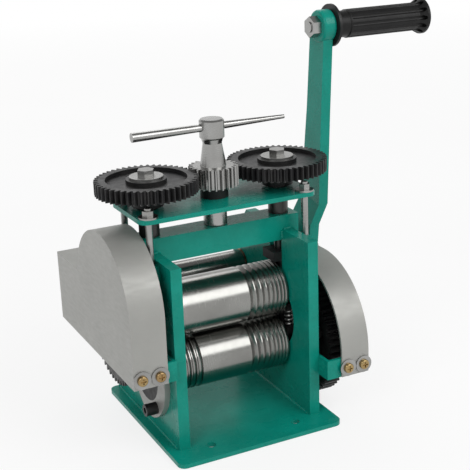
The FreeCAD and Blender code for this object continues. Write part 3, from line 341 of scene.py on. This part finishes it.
def pale_world():
    """An even light on the object. Rays that see it meet white, turning to grey overhead."""
    world = bpy.data.worlds.new("studio")
    bpy.context.scene.world = world
    world.use_nodes = True
    net = Net(world.node_tree)
    light = net.tree.nodes["Background"]
    light.inputs["Color"].default_value = WHITE
    light.inputs["Strength"].default_value = WORLD_LIGHT
    height = net.node("ShaderNodeSeparateXYZ", {0: net.coord.outputs["Generated"]}).outputs[2]
    sky = net.ramp(height, WHITE, OVERHEAD, low=WHITE_UP_TO, high=GREY_FROM)
    shown = net.node("ShaderNodeBackground", {"Color": sky})
    net.mix_into("World Output", meets_background(net), light.outputs[0], shown.outputs[0])


def floor_glow(net):
    """The floor's own white: none under the base plate, so that its holes look into shade."""
    place = net.coord.outputs["Object"]
    part = net.node("ShaderNodeSeparateXYZ", {0: place}).outputs
    beyond_x = net.maths("GREATER_THAN", net.maths("ABSOLUTE", part[0]), UNDER_BASE[0])
    beyond_y = net.maths("GREATER_THAN", net.maths("ABSOLUTE", part[1]), UNDER_BASE[1])
    outside = net.maths("MAXIMUM", beyond_x, beyond_y)
    far = net.node("ShaderNodeVectorMath", {0: place}, operation="LENGTH").outputs["Value"]
    glow = net.spread(far, FLOOR_GLOW, 1.0, low=FADE_START, high=FADE_END)
    return net.maths("MULTIPLY", outside, glow)


def pale_floor():
    bpy.ops.mesh.primitive_plane_add(size=FLOOR_SIZE, location=(0, 0, FLOOR_Z))
    floor = bpy.context.object
    floor.name = "studio_floor"
    net = Finish("studio_floor")
    net.patchy_colour(net.noise(scale=3.0, detail=2.0), FLOOR_PALE, FLOOR_PALER, low=0.3, high=0.7)
    net.to("Roughness", 0.8)
    net.to("Specular IOR Level", 0.1)
    white = net.node("ShaderNodeEmission", {"Color": WHITE, "Strength": 1.0})
    share = net.maths("MULTIPLY", meets_background(net), floor_glow(net))
    net.mix_into("Material Output", share, net.shader.outputs[0], white.outputs[0])
    floor.data.materials.append(net.mat)


def bead_points(name, start, end, radius):
    """Rings along a bead, from ripple to ripple, and how many there are after the first."""
    start, end = Vector(start), Vector(end)
    way = (end - start).normalized()
    side = way.orthogonal().normalized()
    other = way.cross(side)
    length = (end - start).length
    ripples = max(LEAST_RIPPLES, round(length / RIPPLE))
    rings = ripples * RINGS_PER_RIPPLE
    chance = random.Random(name)
    bend = [chance.uniform(-1.0, 1.0) for _ in range(ripples + 1)]
    verts = []
    for i in range(rings + 1):
        step, part = divmod(i, RINGS_PER_RIPPLE)
        rise = math.sin(math.pi * part / RINGS_PER_RIPPLE)
        lump = RIPPLE_EDGE + RIPPLE_CREST * rise + RIPPLE_CHANCE * bend[step]
        taper = math.sqrt(min(1.0, (min(i, rings - i) + END_SHARE) / RINGS_PER_RIPPLE))
        middle = start + way * (length * i / rings)
        reach = radius * lump * taper
        for k in range(BEAD_SIDES):
            turn = 2.0 * math.pi * k / BEAD_SIDES
            across = side * (reach * math.cos(turn))
            along = way * (RIPPLE_LEAN * radius * math.cos(turn))
            verts.append(middle + across + other * (reach * math.sin(turn)) + along)
    return verts, rings


def weld_bead(name, start, end, radius):
    """A fillet of weld between two painted plates: overlapping ripples, uneven in width."""
    verts, rings = bead_points(name, start, end, radius)
    faces = []
    for i in range(rings):
        for k in range(BEAD_SIDES):
            n = (k + 1) % BEAD_SIDES
            a, b = i * BEAD_SIDES, (i + 1) * BEAD_SIDES
            faces.append((a + k, a + n, b + n, b + k))
    faces.append(tuple(reversed(range(BEAD_SIDES))))
    faces.append(tuple(rings * BEAD_SIDES + k for k in range(BEAD_SIDES)))
    mesh = bpy.data.meshes.new(name)
    mesh.from_pydata(verts, [], faces)
    mesh.update()
    for face in mesh.polygons:
        face.use_smooth = True
    mesh.materials.append(green)
    bead = bpy.data.objects.new(name, mesh)
    bpy.context.scene.collection.objects.link(bead)
    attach(bead, FIXED_BODY)


def weld_beads():
    """Beads where the side plates stand on the base and where the crossbar sits in them."""
    floor_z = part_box("base_plate")[1][2]
    bar_low, bar_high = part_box("crossbar")
    bar_faces = (("front", bar_low[1]), ("rear", bar_high[1]))
    for side_name in ("left", "right"):
        low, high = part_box(side_name + "_side_plate")
        inner, outer = (high[0], low[0]) if side_name == "left" else (low[0], high[0])
        for face, x in (("inner", inner), ("outer", outer)):
            weld_bead(side_name + "_foot_weld_" + face, (x, low[1] + BEAD_INSET, floor_z),
                      (x, high[1] - BEAD_INSET, floor_z), FOOT_BEAD_R)
        for face, y in bar_faces:
            weld_bead(side_name + "_bar_weld_" + face, (low[0] + BEAD_END, y, high[2]),
                      (high[0] - BEAD_END, y, high[2]), BAR_BEAD_R)
        for face, y in bar_faces:
            weld_bead(side_name + "_bar_side_weld_" + face, (inner, y, bar_low[2] + BEAD_END),
                      (inner, y, high[2]), BAR_BEAD_R)


set_camera()
weld_beads()
pale_world()
pale_floor()
for name, at, size, power in LAMPS:
    area_lamp(name, at, size, power)

scene = bpy.context.scene
scene.view_settings.view_transform = "Standard"
